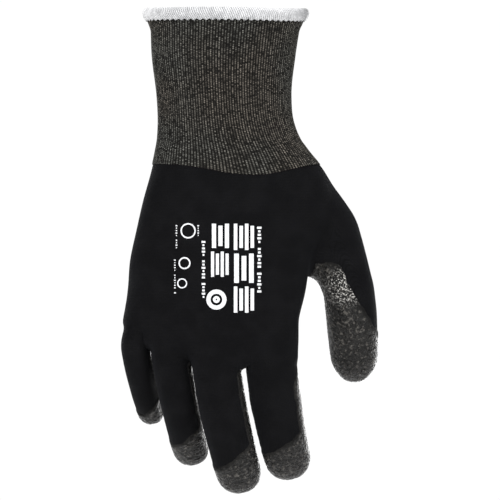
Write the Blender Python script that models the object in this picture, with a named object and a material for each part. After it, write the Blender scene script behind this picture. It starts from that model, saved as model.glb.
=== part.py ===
"""A right-hand knitted work glove with a film-dipped palm, filled as on a hand.

Sizes are in millimetres and become metres when a mesh is made. +Z is up out of the
cuff opening, the palm faces +Y, the back faces -Y and the thumb is on the +X side.
The origin is the centre of the opening, level with the top of the hem.
"""
import math

import bmesh
import bpy
from mathutils import Vector

MM = 0.001

# walls and gaps
KNIT_WALL = 1.2
FILM_WALL = 0.6
GAP = 0.3
FILM_SHORTFALL = 0.45
KNIT_INSET = FILM_WALL + GAP
LINING_INSET = KNIT_INSET + KNIT_WALL

# sides of each kind of tube
CUFF_SIDES = 40
FINGER_SIDES = 14
PALM_SIDES = 30
ROUNDNESS = 2.25
PALM_ROUNDNESS = 2.45

# the cuff and hem: height, left edge, right edge and half depth at each station
HEM_HEIGHT = 7.0
HEM_FLARE = 1.6
HEM_WALL = 1.0
EDGE_COVER = 0.9
CUFF_STATIONS = (
    (0.0, -39.6, 37.6, 29.0),
    (-7.0, -38.8, 36.3, 28.4),
    (-24.0, -38.0, 33.6, 26.8),
    (-44.0, -35.6, 31.6, 24.6),
    (-57.5, -35.0, 33.0, 23.6),
    (-66.0, -35.5, 36.5, 22.8),
    (-73.5, -36.6, 42.0, 22.2),
    (-82.0, -38.6, 48.4, 21.4),
)
WRIST_ZONE = (-44.0, -71.0)
CUFF_END = -82.0
CUFF_RINGS = 7.5
HAND_TOP = -82.8

# the elastane yarn laid around the inside of the cuff
ELASTIC_RADIUS = 0.35
ELASTIC_TURNS = 6
ELASTIC_STEPS = 26
ELASTIC_SPAN = (-11.0, -41.0)

# the palm, without the thumb: height, left edge, right edge, half depth, tilt
PALM_STATIONS = (
    (-82.0, -38.6, 48.4, 21.4, 0.0),
    (-96.0, -42.5, 49.5, 19.8, 0.0),
    (-111.0, -46.0, 46.5, 18.6, 0.0),
    (-126.0, -49.3, 41.5, 17.6, 0.0),
    (-141.0, -50.7, 38.0, 16.4, 0.03),
    (-154.0, -52.2, 34.8, 14.8, 0.07),
    (-163.0, -53.4, 33.8, 12.8, 0.10),
    (-169.5, -53.4, 33.3, 10.4, 0.12),
)
ARCH = (-2.4, -2.5, 10.0)
ARCH_REACH = 50.0
ARCH_SPAN = (-84.0, -160.0)

# the thumb's metacarpal and stall: across, palmar, height, half width, half depth
THUMB_STATIONS = (
    (34.0, 9.0, -92.0, 12.6, 12.6),
    (42.0, 11.0, -98.0, 14.2, 13.6),
    (51.5, 13.0, -111.0, 14.3, 13.6),
    (56.0, 14.0, -126.0, 14.0, 13.2),
    (60.4, 15.0, -141.0, 13.2, 12.2),
    (61.8, 18.5, -153.0, 13.2, 12.0),
    (62.6, 22.5, -165.0, 12.6, 11.4),
    (63.8, 32.0, -186.5, 11.0, 10.4),
)
THUMB_BEND = Vector((-0.7, 0.7, 0.0))
THUMB_BASE = (0.0, 10.0)
THUMB_JOINT = (18.8, 29.8)
THUMB_DOME = 15.0
THUMB_FILM_CENTRE = math.radians(18)
THUMB_FILM_REACH = math.radians(112)
WEB_CENTRE = (44.5, 12.5, -118.0)
WEB_RADII = (12.0, 9.5, 16.0)
WELD = 0.02
OVERRUN = 3.0
FILM_BACK = 5.0
FILM_TOP = -96.0
CROTCH_FILM_CENTRE = (51.5, 0.0, -138.5)
CROTCH_FILM_RADIUS = 11.0

# fingers lean together towards the thumb and curl in parallel planes
LEAN = math.radians(10.5)
SIDE = Vector((math.cos(LEAN), 0.0, math.sin(LEAN)))
DOWN = Vector((math.sin(LEAN), 0.0, -math.cos(LEAN)))
PALMAR = Vector((0.0, 1.0, 0.0))
BEND_ROUNDING = 6.0
FILM_REACH = math.radians(98)
DOME_ANGLES = (30, 55, 76)

# places are at the web, the middle joint, the end joint and the tip; the root lies
# inside the palm, so far from the web
FINGERS = {
    "index": {
        "across": (-12.1, -13.0, -12.5, -12.0),
        "along": (177.9, 199.0, 221.0, 236.5),
        "palmar": (-1.0, 4.7, 17.2, 31.5),
        "half_width": (12.2, 10.9),
        "half_depth": (10.3, 9.4),
        "base": (1.0, 11.0),
        "dome": 12.5,
        "root": (-1.5, 3.0, 14.0),
    },
    "middle": {
        "across": (-38.6, -39.2, -38.6, -37.6),
        "along": (173.0, 197.2, 222.8, 239.5),
        "palmar": (-2.5, 2.7, 16.3, 31.5),
        "half_width": (12.0, 10.9),
        "half_depth": (10.5, 9.5),
        "base": (1.0, 11.0),
        "dome": 13.0,
        "root": (0.0, 3.5, 14.0),
    },
    "ring": {
        "across": (-61.2, -61.2, -60.8, -60.1),
        "along": (163.6, 185.2, 206.8, 221.0),
        "palmar": (2.5, 8.8, 23.5, 39.5),
        "half_width": (9.6, 8.4),
        "half_depth": (9.8, 8.8),
        "base": (1.0, 11.0),
        "dome": 11.0,
        "root": (2.0, 3.0, 14.0),
    },
    "little": {
        "across": (-77.9, -77.9, -77.8, -77.0),
        "along": (154.9, 169.7, 184.4, 196.5),
        "palmar": (7.0, 13.0, 26.4, 43.0),
        "half_width": (6.6, 6.1),
        "half_depth": (8.5, 7.6),
        "base": (1.0, 9.0),
        "dome": 9.0,
        "root": (5.5, 1.0, 12.0),
    },
}
MID_JOINT_REACH = {"index": 5.5, "middle": 5.8, "ring": 5.5, "little": 4.8}
END_JOINT_REACH = 4.0

# each hinge lies this part of the half depth towards the palm
WRIST_HINGE = (-1.0, 2.0, -57.5)
BASE_HINGE_SHIFT = 0.29
MID_HINGE_SHIFT = 0.24
END_HINGE_SHIFT = 0.22
THUMB_BASE_SHIFT = 0.12
THUMB_JOINT_SHIFT = 0.21

# base colours and finishes of the slots
FINISHES = {
    "cuff_yarn": ((0.090, 0.088, 0.085), 0.85),
    "hand_yarn": ((0.014, 0.014, 0.015), 0.80),
    "film": ((0.040, 0.041, 0.043), 0.42),
    "hem_thread": ((0.86, 0.87, 0.89), 0.70),
    "elastane": ((0.75, 0.74, 0.70), 0.50),
}


def blended(stations, place, column):
    """One column of a station list at a place, along a smooth curve."""
    rows = sorted(stations, key=lambda row: row[0])
    places = [row[0] for row in rows]
    values = [row[column] for row in rows]
    return smooth_value(places, values, place)


def smooth_value(places, values, place):
    """Hermite interpolation through rising places, held flat beyond its ends."""
    if place <= places[0]:
        return values[0]
    if place >= places[-1]:
        return values[-1]
    i = max(n for n in range(len(places) - 1) if places[n] <= place)
    span = places[i + 1] - places[i]
    t = (place - places[i]) / span
    first = slope(places, values, i) * span
    last = slope(places, values, i + 1) * span
    a = (1 + 2 * t) * (1 - t) ** 2
    b = t * (1 - t) ** 2
    c = t * t * (3 - 2 * t)
    d = t * t * (t - 1)
    return a * values[i] + b * first + c * values[i + 1] + d * last


def slope(places, values, i):
    """The slope of a station curve at one of its stations."""
    low = max(i - 1, 0)
    high = min(i + 1, len(places) - 1)
    return (values[high] - values[low]) / (places[high] - places[low])


def power(value, exponent):
    """A signed power, for superellipse sections."""
    return math.copysign(abs(value) ** exponent, value)


def turn(sides):
    """The angles of a closed section."""
    return [2 * math.pi * i / sides for i in range(sides)]


def arc(centre, reach, steps):
    """The angles of an open section."""
    return [centre - reach + 2 * reach * i / steps for i in range(steps + 1)]


def spaced(start, end, steps):
    """Evenly spaced places from start to end."""
    return [start + (end - start) * i / steps for i in range(steps + 1)]


class Path:
    """A line through given points with rounded bends, measured along its length."""

    def __init__(self, points, rounding):
        self.points = rounded_line(points, rounding)
        self.lengths = [0.0]
        for a, b in zip(self.points, self.points[1:]):
            self.lengths.append(self.lengths[-1] + (b - a).length)
        self.length = self.lengths[-1]
        self.bends = [self.nearest(p) for p in points[1:-1]]

    def nearest(self, point):
        """The length along the line nearest to a point."""
        gaps = [(p - point).length for p in self.points]
        return self.lengths[gaps.index(min(gaps))]

    def place(self, length):
        """The point at a length, carried on straight past either end."""
        if length < 0:
            return self.points[0] + self.heading(0) * length
        if length > self.length:
            return self.points[-1] + self.heading(self.length) * (length - self.length)
        i = max(n for n in range(len(self.lengths) - 1) if self.lengths[n] <= length)
        t = (length - self.lengths[i]) / (self.lengths[i + 1] - self.lengths[i])
        return self.points[i].lerp(self.points[i + 1], t)

    def heading(self, length):
        """The direction of the line at a length."""
        low = min(max(length - 0.5, 0.0), self.length - 1.0)
        return (self.place(low + 1.0) - self.place(low)).normalized()


def rounded_line(points, rounding):
    """The points of a polyline whose corners are replaced by short curves."""
    line = [points[0]]
    for before, corner, after in zip(points, points[1:], points[2:]):
        start = corner + (before - corner).normalized() * rounding
        end = corner + (after - corner).normalized() * rounding
        for t in spaced(0.0, 1.0, 8):
            a = start.lerp(corner, t)
            b = corner.lerp(end, t)
            line.append(a.lerp(b, t))
    line.append(points[-1])
    return line


def mesh_object(name, rings, poles=(), looped=False, fill=False):
    """A loft through rings, ending in poles or flat caps or back at its first ring."""
    shape = bmesh.new()
    rows = [[shape.verts.new(p * MM) for p in ring] for ring in rings]
    count = len(rows[0])
    following = rows[1:] + rows[:1] if looped else rows[1:]
    for low, high in zip(rows, following):
        for i in range(count):
            j = (i + 1) % count
            shape.faces.new((low[i], low[j], high[j], high[i]))
    for row, pole in poles:
        tip = shape.verts.new(pole * MM)
        for i in range(count):
            shape.faces.new((rows[row][i], rows[row][(i + 1) % count], tip))
    if fill:
        shape.faces.new(list(reversed(rows[0])))
        shape.faces.new(rows[-1])
    bmesh.ops.recalc_face_normals(shape, faces=shape.faces)
    mesh = bpy.data.meshes.new(name)
    shape.to_mesh(mesh)
    shape.free()
    return bpy.data.objects.new(name, mesh)


def place_in(collection, thing, slot=None, pivot=None):
    """Link an object, give it its material and hang it on its hinge's empty."""
    collection.objects.link(thing)
    if slot:
        thing.data.materials.clear()
        thing.data.materials.append(MATERIALS[slot])
    if pivot:
        thing.parent = PIVOTS[pivot]["empty"]
        thing.location = -PIVOTS[pivot]["place"] * MM
    return thing


def make_pivot(name, place, parent=None):
    """An empty on a hinge's axis, hung on the empty of the body it turns on."""
    empty = bpy.data.objects.new(name + "_pivot", None)
    empty.location = place * MM
    if parent:
        empty.parent = PIVOTS[parent]["empty"]
        empty.location = (place - PIVOTS[parent]["place"]) * MM
    GLOVE.objects.link(empty)
    PIVOTS[name] = {"empty": empty, "place": place}


def cuff_ring(height, inset, sides=CUFF_SIDES):
    """One level section of the cuff."""
    left = blended(CUFF_STATIONS, height, 1)
    right = blended(CUFF_STATIONS, height, 2)
    depth = blended(CUFF_STATIONS, height, 3) - inset
    centre = (left + right) / 2
    width = (right - left) / 2 - inset
    return [
        Vector((
            centre + width * power(math.cos(a), 2 / ROUNDNESS),
            depth * power(math.sin(a), 2 / ROUNDNESS),
            height,
        ))
        for a in turn(sides)
    ]


def cuff_part(name, top, bottom, pivot=None):
    """A band of the cuff's rib knit."""
    steps = max(1, round((top - bottom) / CUFF_RINGS))
    outer = [cuff_ring(z, 0.0) for z in spaced(top, bottom, steps)]
    inner = [cuff_ring(z, KNIT_WALL) for z in spaced(bottom, top, steps)]
    place_in(GLOVE, mesh_object(name, outer + inner, looped=True), "cuff_yarn", pivot)


def make_hem():
    """The overlock hem, wrapped over the cuff's raw edge inside and out."""
    outside = GAP + HEM_WALL
    inside = KNIT_WALL + GAP
    profile = (
        (outside, -HEM_HEIGHT),
        (outside + HEM_FLARE * 0.5, -HEM_HEIGHT * 0.5),
        (outside, -0.8),
        (outside - 0.7, 0.0),
        (-inside, 0.0),
        (-inside - HEM_WALL, -0.8),
        (-inside - HEM_WALL - 0.3, -HEM_HEIGHT * 0.5),
        (-inside - HEM_WALL, -HEM_HEIGHT),
        (-inside, -HEM_HEIGHT),
        (-inside, -EDGE_COVER),
        (GAP, -EDGE_COVER),
        (GAP, -HEM_HEIGHT),
    )
    rings = [cuff_ring(height, -reach) for reach, height in profile]
    place_in(GLOVE, mesh_object("cuff_hem", rings, looped=True), "hem_thread")


def make_elastic():
    """One elastane yarn running round and round inside the cuff."""
    curve = bpy.data.curves.new("elastic_yarn", "CURVE")
    curve.dimensions = "3D"
    curve.resolution_u = 1
    curve.bevel_depth = ELASTIC_RADIUS * MM
    curve.bevel_resolution = 0
    curve.use_fill_caps = True
    line = curve.splines.new("POLY")
    steps = ELASTIC_TURNS * ELASTIC_STEPS
    line.points.add(steps)
    inset = KNIT_WALL + GAP + ELASTIC_RADIUS
    for i, height in enumerate(spaced(ELASTIC_SPAN[0], ELASTIC_SPAN[1], steps)):
        ring = cuff_ring(height, inset, ELASTIC_STEPS)
        place = ring[i % ELASTIC_STEPS] * MM
        line.points[i].co = (place.x, place.y, place.z, 1.0)
    yarn = bpy.data.objects.new("elastic_yarn", curve)
    ends = yarn.modifiers.new("Join ends", "WELD")
    ends.merge_threshold = 0.00005
    place_in(GLOVE, yarn, "elastane")


def ramp(start, end, value):
    """A smooth step from 0 at start to 1 at end."""
    t = min(max((value - start) / (end - start), 0.0), 1.0)
    return t * t * (3 - 2 * t)


def palm_ring(height, inset):
    """One section of the palm, arched across the back and tilted to the webs."""
    left = blended(PALM_STATIONS, height, 1)
    right = blended(PALM_STATIONS, height, 2)
    depth = blended(PALM_STATIONS, height, 3) - inset
    tilt = blended(PALM_STATIONS, height, 4)
    centre = (left + right) / 2
    width = (right - left) / 2 - inset
    arch = ramp(ARCH_SPAN[0], ARCH_SPAN[1], height)
    ring = []
    for a in turn(PALM_SIDES):
        x = centre + width * power(math.cos(a), 2 / PALM_ROUNDNESS)
        t = x / ARCH_REACH
        bow = arch * (ARCH[0] + ARCH[1] * t + ARCH[2] * t * t)
        y = bow + depth * power(math.sin(a), 2 / PALM_ROUNDNESS)
        ring.append(Vector((x, y, height - tilt * (x - centre))))
    return ring


def palm_form(name, inset, top):
    """The palm as a closed solid, its wall moved in by the inset."""
    heights = [row[0] for row in PALM_STATIONS]
    heights[0] = top
    heights[-1] += inset
    return mesh_object(name, [palm_ring(z, inset) for z in heights], fill=True)


def section(place, along, across, half_width, half_depth, angles):
    """An oval section square to a heading; angle 0 is across, 90 degrees is palmar."""
    across = (across - along * across.dot(along)).normalized()
    palmar = along.cross(across).normalized()
    if palmar.dot(PALMAR) < 0:
        palmar.negate()
    return [
        place
        + across * half_width * power(math.cos(a), 2 / ROUNDNESS)
        + palmar * half_depth * power(math.sin(a), 2 / ROUNDNESS)
        for a in angles
    ]


class Stall:
    """One finger or thumb of the glove as a tapering oval along a bent path."""

    def __init__(self, path, across, widths, depths, dome, start):
        self.path = path
        self.across = across
        self.widths = widths
        self.depths = depths
        self.dome = path.length - dome
        self.start = start

    def taper(self, ends, length):
        """A half size at a length along the stall."""
        places = [row[0] for row in ends]
        values = [row[1] for row in ends]
        return smooth_value(places, values, length)

    def ring(self, length, inset, angles, scale=1.0):
        """A section of the stall, its wall moved in by the inset."""
        width = (self.taper(self.widths, length) - inset) * scale
        depth = (self.taper(self.depths, length) - inset) * scale
        place = self.path.place(length)
        heading = self.path.heading(length)
        return section(place, heading, self.across, width, depth, angles)

    def rings(self, start, end, steps, inset, angles=None):
        """Sections from one length to another."""
        angles = angles or turn(FINGER_SIDES)
        return [self.ring(s, inset, angles) for s in spaced(start, end, steps)]

    def sleeve(self, name, start, end, steps, inset, thickness):
        """A length of the stall as an open tube, its wall built inwards."""
        outer = self.rings(start, end, steps, inset)
        inner = self.rings(end, start, steps, inset + thickness)
        return mesh_object(name, outer + inner, looped=True)

    def shell(self, name, start, end, steps, thickness, angles):
        """A length of one side of the stall, its wall built inwards."""
        outer = self.rings(start, end, steps, 0.0, angles)
        inner = self.rings(start, end, steps, thickness, angles[::-1])
        return mesh_object(name, [a + b for a, b in zip(outer, inner)], fill=True)

    def dome_rings(self, start, inset):
        """Sections from the start of the tip over its dome, and the pole they close on."""
        rings = self.rings(start, self.dome, 1, inset)
        reach = self.path.length - inset - self.dome
        for angle in DOME_ANGLES:
            length = self.dome + reach * math.sin(math.radians(angle))
            scale = math.cos(math.radians(angle))
            rings.append(self.ring(length, inset, turn(FINGER_SIDES), scale))
        return rings, self.path.place(self.path.length - inset)

    def cup(self, name, start, inset, thickness):
        """The end of the stall as a cup, its wall built inwards."""
        outer, tip = self.dome_rings(start, inset)
        inner, hollow = self.dome_rings(start, inset + thickness)
        rings = outer[::-1] + inner
        return mesh_object(name, rings, poles=((0, tip), (len(rings) - 1, hollow)))

    def hinge(self, length, shift, towards):
        """A hinge's place, part of the half depth from the middle towards the bend."""
        heading = self.path.heading(length)
        towards = (towards - heading * towards.dot(heading)).normalized()
        return self.path.place(length) + towards * self.taper(self.depths, length) * shift


def finger_stall(name):
    """The stall of one of the four fingers."""
    size = FINGERS[name]
    rows = zip(size["across"], size["along"], size["palmar"])
    points = [SIDE * a + DOWN * b + PALMAR * c for a, b, c in rows]
    points.insert(0, points[0] + Vector(size["root"]))
    path = Path(points, BEND_ROUNDING)
    widths = taper_of(size["half_width"], path)
    depths = taper_of(size["half_depth"], path)
    return Stall(path, SIDE, widths, depths, size["dome"], path.bends[0])


def taper_of(ends, path):
    """A stall keeps its size to the middle joint and narrows from there to the tip."""
    base, tip = ends
    middle = (base + tip) / 2
    return ((0.0, base), (path.bends[1], base), (path.bends[2], middle), (path.length, tip))


def thumb_stall():
    """The thumb from its root inside the palm to its tip."""
    points = [Vector((row[0], row[1], row[2])) for row in THUMB_STATIONS]
    path = Path(points, 3.0)
    places = [path.nearest(p) for p in points]
    widths = [(s, row[3]) for s, row in zip(places, THUMB_STATIONS)]
    depths = [(s, row[4]) for s, row in zip(places, THUMB_STATIONS)]
    start = path.nearest(points[4])
    return Stall(path, Vector((1.0, 0.0, 0.0)), widths, depths, THUMB_DOME, start)


def web_form(name, inset):
    """The skin between the thumb and the palm."""
    shape = bmesh.new()
    bmesh.ops.create_icosphere(shape, subdivisions=2, radius=1.0)
    for vert in shape.verts:
        reach = [(r - inset) * MM for r in WEB_RADII]
        vert.co = Vector(
            [WEB_CENTRE[i] * MM + vert.co[i] * reach[i] for i in range(3)]
        )
    mesh = bpy.data.meshes.new(name)
    shape.to_mesh(mesh)
    shape.free()
    return bpy.data.objects.new(name, mesh)


def combine(target, tool, operation):
    """Add an exact Boolean of one object with another."""
    step = target.modifiers.new(operation.title(), "BOOLEAN")
    step.operation = operation
    step.solver = "EXACT"
    step.object = tool
    return target


def settle(thing):
    """Weld an object's slivers and turn its modifiers into plain mesh."""
    weld = thing.modifiers.new("Weld", "WELD")
    weld.merge_threshold = WELD * MM
    graph = bpy.context.evaluated_depsgraph_get()
    mesh = bpy.data.meshes.new_from_object(thing.evaluated_get(graph))
    thing.modifiers.clear()
    thing.data = mesh
    return thing


def hand_form(name, inset, overrun, top):
    """Palm, thumb root, web and finger stubs joined into one solid."""
    body = place_in(CUTTERS, palm_form(name, inset, top))
    thumb = STALLS["thumb"]
    end = thumb.start + overrun - GAP / 2
    pieces = [mesh_object(name + "_thumb", thumb.rings(0.0, end, 8, inset), fill=True)]
    pieces.append(web_form(name + "_web", inset))
    for finger in FINGERS:
        stall = STALLS[finger]
        end = stall.start + FINGERS[finger]["base"][0] + overrun - GAP / 2
        rings = stall.rings(0.0, end, 3, inset)
        pieces.append(mesh_object(name + "_" + finger, rings, fill=True))
    for piece in pieces:
        place_in(CUTTERS, piece)
        combine(body, piece, "UNION")
    return settle(body)


def block(name, low, high):
    """A plain box from its two corners."""
    shape = bmesh.new()
    bmesh.ops.create_cube(shape, size=1.0)
    for vert in shape.verts:
        for i in range(3):
            middle = (low[i] + high[i]) / 2
            vert.co[i] = (middle + vert.co[i] * (high[i] - low[i])) * MM
    mesh = bpy.data.meshes.new(name)
    shape.to_mesh(mesh)
    shape.free()
    return bpy.data.objects.new(name, mesh)


def make_hand():
    """The knit of the hand and the film on its palm side."""
    knit = hand_form("hand_knit", KNIT_INSET, 0.0, HAND_TOP)
    lining = hand_form("lining", LINING_INSET, OVERRUN, HAND_TOP + OVERRUN)
    combine(knit, lining, "DIFFERENCE")
    settle(knit)
    CUTTERS.objects.unlink(knit)
    place_in(GLOVE, knit, "hand_yarn", "wrist")
    film = hand_form("palm_coating", 0.0, 0.0, HAND_TOP)
    relief = hand_form("film_relief", FILM_WALL, OVERRUN, HAND_TOP + OVERRUN)
    combine(film, relief, "DIFFERENCE")
    combine(film, film_region(), "INTERSECT")
    settle(film)
    CUTTERS.objects.unlink(film)
    place_in(GLOVE, film, "film", "wrist")


def film_region():
    """Where the dip reached: the palm side, and round the thumb's crotch."""
    region = block("dip_level", (-90.0, FILM_BACK, -230.0), (110.0, 60.0, FILM_TOP))
    place_in(CUTTERS, region)
    shape = bmesh.new()
    bmesh.ops.create_cone(
        shape, cap_ends=True, segments=24, depth=60 * MM,
        radius1=CROTCH_FILM_RADIUS * MM, radius2=CROTCH_FILM_RADIUS * MM,
    )
    for vert in shape.verts:
        x, y, z = vert.co
        vert.co = Vector((x, z, -y)) + Vector(CROTCH_FILM_CENTRE) * MM
    mesh = bpy.data.meshes.new("dip_crotch")
    bmesh.ops.recalc_face_normals(shape, faces=shape.faces)
    shape.to_mesh(mesh)
    shape.free()
    crotch = place_in(CUTTERS, bpy.data.objects.new("dip_crotch", mesh))
    combine(region, crotch, "UNION")
    return settle(region)


def sleeve(name, stall, span, steps, pivot):
    """A length of knit finger, less a hair's gap at each end."""
    ends = (span[0] + GAP / 2, span[1] - GAP / 2)
    tube = stall.sleeve(name, *ends, steps, KNIT_INSET, KNIT_WALL)
    place_in(GLOVE, tube, "hand_yarn", pivot)


def film_shell(name, stall, span, angles, pivot):
    """The film on the palm side of a length of finger, ending short of the knit."""
    ends = (span[0] + FILM_SHORTFALL, span[1] - FILM_SHORTFALL)
    place_in(GLOVE, stall.shell(name, *ends, 2, FILM_WALL, angles), "film", pivot)


def make_tip(name, stall, start, pivot):
    """A knit fingertip and the film cup dipped over it."""
    start += GAP / 2
    knit = stall.cup(name + "_tip_knit", start, KNIT_INSET, KNIT_WALL)
    place_in(GLOVE, knit, "hand_yarn", pivot)
    film = stall.cup(name + "_tip_coating", start, 0.0, FILM_WALL)
    place_in(GLOVE, film, "film", pivot)


def make_finger(name, stall):
    """A finger's sleeves, from its root below the web to the tip."""
    base, middle, end = [name + "_" + joint for joint in ("base", "mid", "end")]
    begin, after = [stall.start + place for place in FINGERS[name]["base"]]
    bend, last = stall.path.bends[1:]
    reach = MID_JOINT_REACH[name]
    first_span = (after, bend - reach)
    middle_span = (bend + reach, last - END_JOINT_REACH)
    tip = last + END_JOINT_REACH
    make_pivot(base, stall.hinge((begin + after) / 2, BASE_HINGE_SHIFT, PALMAR), "wrist")
    make_pivot(middle, stall.hinge(bend, MID_HINGE_SHIFT, PALMAR), base)
    make_pivot(end, stall.hinge(last, END_HINGE_SHIFT, PALMAR), middle)
    angles = arc(math.radians(90), FILM_REACH, 9)
    sleeve(name + "_base_knit", stall, (begin, after), 2, "wrist")
    sleeve(name + "_proximal_knit", stall, first_span, 1, base)
    film_shell(name + "_proximal_coating", stall, first_span, angles, base)
    sleeve(name + "_mid_joint_knit", stall, (first_span[1], middle_span[0]), 4, base)
    sleeve(name + "_middle_knit", stall, middle_span, 2, middle)
    film_shell(name + "_middle_coating", stall, middle_span, angles, middle)
    sleeve(name + "_end_joint_knit", stall, (middle_span[1], tip), 3, middle)
    make_tip(name, stall, tip, end)


def make_thumb(stall):
    """The thumb's sleeves, from its root to the tip."""
    base = [stall.start + place for place in THUMB_BASE]
    joint = [stall.start + place for place in THUMB_JOINT]
    first_span = (base[1], joint[0])
    bend = THUMB_BEND.normalized()
    make_pivot("thumb_base", stall.hinge(sum(base) / 2, THUMB_BASE_SHIFT, bend), "wrist")
    make_pivot("thumb_joint", stall.hinge(sum(joint) / 2, THUMB_JOINT_SHIFT, bend), "thumb_base")
    angles = arc(math.pi - THUMB_FILM_CENTRE, THUMB_FILM_REACH, 9)
    sleeve("thumb_base_knit", stall, base, 2, "wrist")
    sleeve("thumb_proximal_knit", stall, first_span, 2, "thumb_base")
    film_shell("thumb_proximal_coating", stall, first_span, angles, "thumb_base")
    sleeve("thumb_joint_knit", stall, joint, 3, "thumb_base")
    make_tip("thumb", stall, joint[1], "thumb_joint")


def make_material(name, colour, roughness):
    """A Principled material."""
    material = bpy.data.materials.new(name)
    material.use_nodes = True
    shader = material.node_tree.nodes["Principled BSDF"]
    shader.inputs["Base Color"].default_value = (*colour, 1.0)
    shader.inputs["Roughness"].default_value = roughness
    return material


def make_collection(name):
    """A new collection in the scene."""
    collection = bpy.data.collections.new(name)
    bpy.context.scene.collection.children.link(collection)
    return collection


for thing in list(bpy.data.objects):
    bpy.data.objects.remove(thing)

GLOVE = make_collection("Cut resistant glove")
CUTTERS = make_collection("Cutters")
MATERIALS = {name: make_material(name, *look) for name, look in FINISHES.items()}
PIVOTS = {}
STALLS = {name: finger_stall(name) for name in FINGERS}
STALLS["thumb"] = thumb_stall()

make_hem()
cuff_part("cuff_upper_knit", -EDGE_COVER - GAP, WRIST_ZONE[0] + GAP / 2)
cuff_part("cuff_wrist_knit", WRIST_ZONE[0] - GAP / 2, WRIST_ZONE[1] + GAP / 2)
make_pivot("wrist", Vector(WRIST_HINGE))
cuff_part("cuff_lower_knit", WRIST_ZONE[1] - GAP / 2, CUFF_END + GAP / 2, "wrist")
make_elastic()
make_hand()
for finger in FINGERS:
    make_finger(finger, STALLS[finger])
make_thumb(STALLS["thumb"])

for thing in CUTTERS.objects:
    thing.hide_render = True
    thing.display_type = "WIRE"
for thing in GLOVE.objects:
    if thing.type == "MESH":
        thing.data.shade_smooth()
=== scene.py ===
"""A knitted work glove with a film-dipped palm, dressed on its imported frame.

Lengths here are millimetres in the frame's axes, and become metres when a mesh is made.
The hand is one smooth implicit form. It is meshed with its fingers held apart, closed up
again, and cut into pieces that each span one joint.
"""
import math

import bmesh
import bpy
import numpy as np
import openvdb
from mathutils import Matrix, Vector, noise
from mathutils.bvhtree import BVHTree


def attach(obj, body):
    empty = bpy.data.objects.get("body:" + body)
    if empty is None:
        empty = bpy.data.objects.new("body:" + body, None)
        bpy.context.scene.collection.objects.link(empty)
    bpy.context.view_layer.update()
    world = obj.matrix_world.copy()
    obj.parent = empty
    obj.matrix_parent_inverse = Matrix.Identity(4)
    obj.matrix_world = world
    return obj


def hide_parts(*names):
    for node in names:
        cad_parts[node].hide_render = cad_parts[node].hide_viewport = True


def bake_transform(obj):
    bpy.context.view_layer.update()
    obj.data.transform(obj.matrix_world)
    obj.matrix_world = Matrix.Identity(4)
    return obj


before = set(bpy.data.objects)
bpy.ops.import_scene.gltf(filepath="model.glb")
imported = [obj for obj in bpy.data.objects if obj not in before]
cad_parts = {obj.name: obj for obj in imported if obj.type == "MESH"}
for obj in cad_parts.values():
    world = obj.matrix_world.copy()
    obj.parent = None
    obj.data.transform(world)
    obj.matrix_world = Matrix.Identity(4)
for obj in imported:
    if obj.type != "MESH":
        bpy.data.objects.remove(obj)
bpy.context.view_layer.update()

MM = 0.001

# the form: close to the CAD parts, and adjusted a little to fit the photograph
ROUNDNESS = 2.25
PALM_ROUNDNESS = 2.45
CUFF_STATIONS = (
    (0.0, -39.6, 37.6, 29.0),
    (-7.0, -38.8, 36.3, 28.4),
    (-24.0, -38.0, 33.6, 26.8),
    (-44.0, -35.6, 31.6, 24.6),
    (-57.5, -35.0, 33.0, 23.6),
    (-66.0, -35.5, 36.5, 22.8),
    (-73.5, -36.6, 42.0, 22.2),
    (-86.0, -39.8, 51.0, 21.0),
)
WRIST_ZONE = (-44.0, -71.0)
PALM_STATIONS = (
    (-60.0, -35.2, 33.4, 23.0, 0.0),
    (-70.0, -36.0, 39.2, 22.2, 0.0),
    (-82.0, -38.6, 48.2, 21.4, 0.0),
    (-96.0, -42.5, 49.5, 19.8, 0.0),
    (-111.0, -46.0, 46.5, 18.6, 0.0),
    (-126.0, -49.3, 41.5, 17.6, 0.0),
    (-141.0, -50.5, 38.8, 16.4, 0.03),
    (-154.0, -52.0, 35.4, 14.8, 0.07),
    (-163.0, -53.0, 34.6, 12.8, 0.10),
    (-168.5, -51.8, 33.6, 10.6, 0.13),
)
PALM_DOME = 9.0
ARCH = (-2.4, -2.5, 10.0)
ARCH_REACH = 50.0
ARCH_SPAN = (-84.0, -160.0)
THUMB_STATIONS = (
    (34.0, 9.0, -92.0, 12.6, 12.6),
    (42.0, 11.0, -98.0, 14.2, 13.6),
    (51.5, 13.0, -111.0, 14.3, 13.6),
    (56.0, 14.0, -126.0, 14.0, 13.2),
    (61.0, 15.0, -141.0, 12.9, 12.2),
    (62.4, 18.5, -153.0, 12.9, 12.0),
    (63.3, 22.5, -165.0, 12.5, 11.4),
    (64.8, 32.4, -187.4, 11.0, 10.4),
)
THUMB_DOME = 15.0
THUMB_ROUNDING = 3.0
THUMB_START = 4
THUMB_ACROSS = np.array((1.0, 0.0, 0.0))
THUMB_BASE = (0.0, 10.0)
THUMB_JOINT = (18.8, 29.8)
WEB_CENTRE = (44.5, 12.5, -118.0)
WEB_RADII = (12.0, 9.5, 16.0)
WEB_BLEND = 6.0
THUMB_BLEND = 9.0
LEAN = math.radians(10.5)
SIDE = np.array((math.cos(LEAN), 0.0, math.sin(LEAN)))
DOWN = np.array((math.sin(LEAN), 0.0, -math.cos(LEAN)))
PALMAR = np.array((0.0, 1.0, 0.0))
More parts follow.
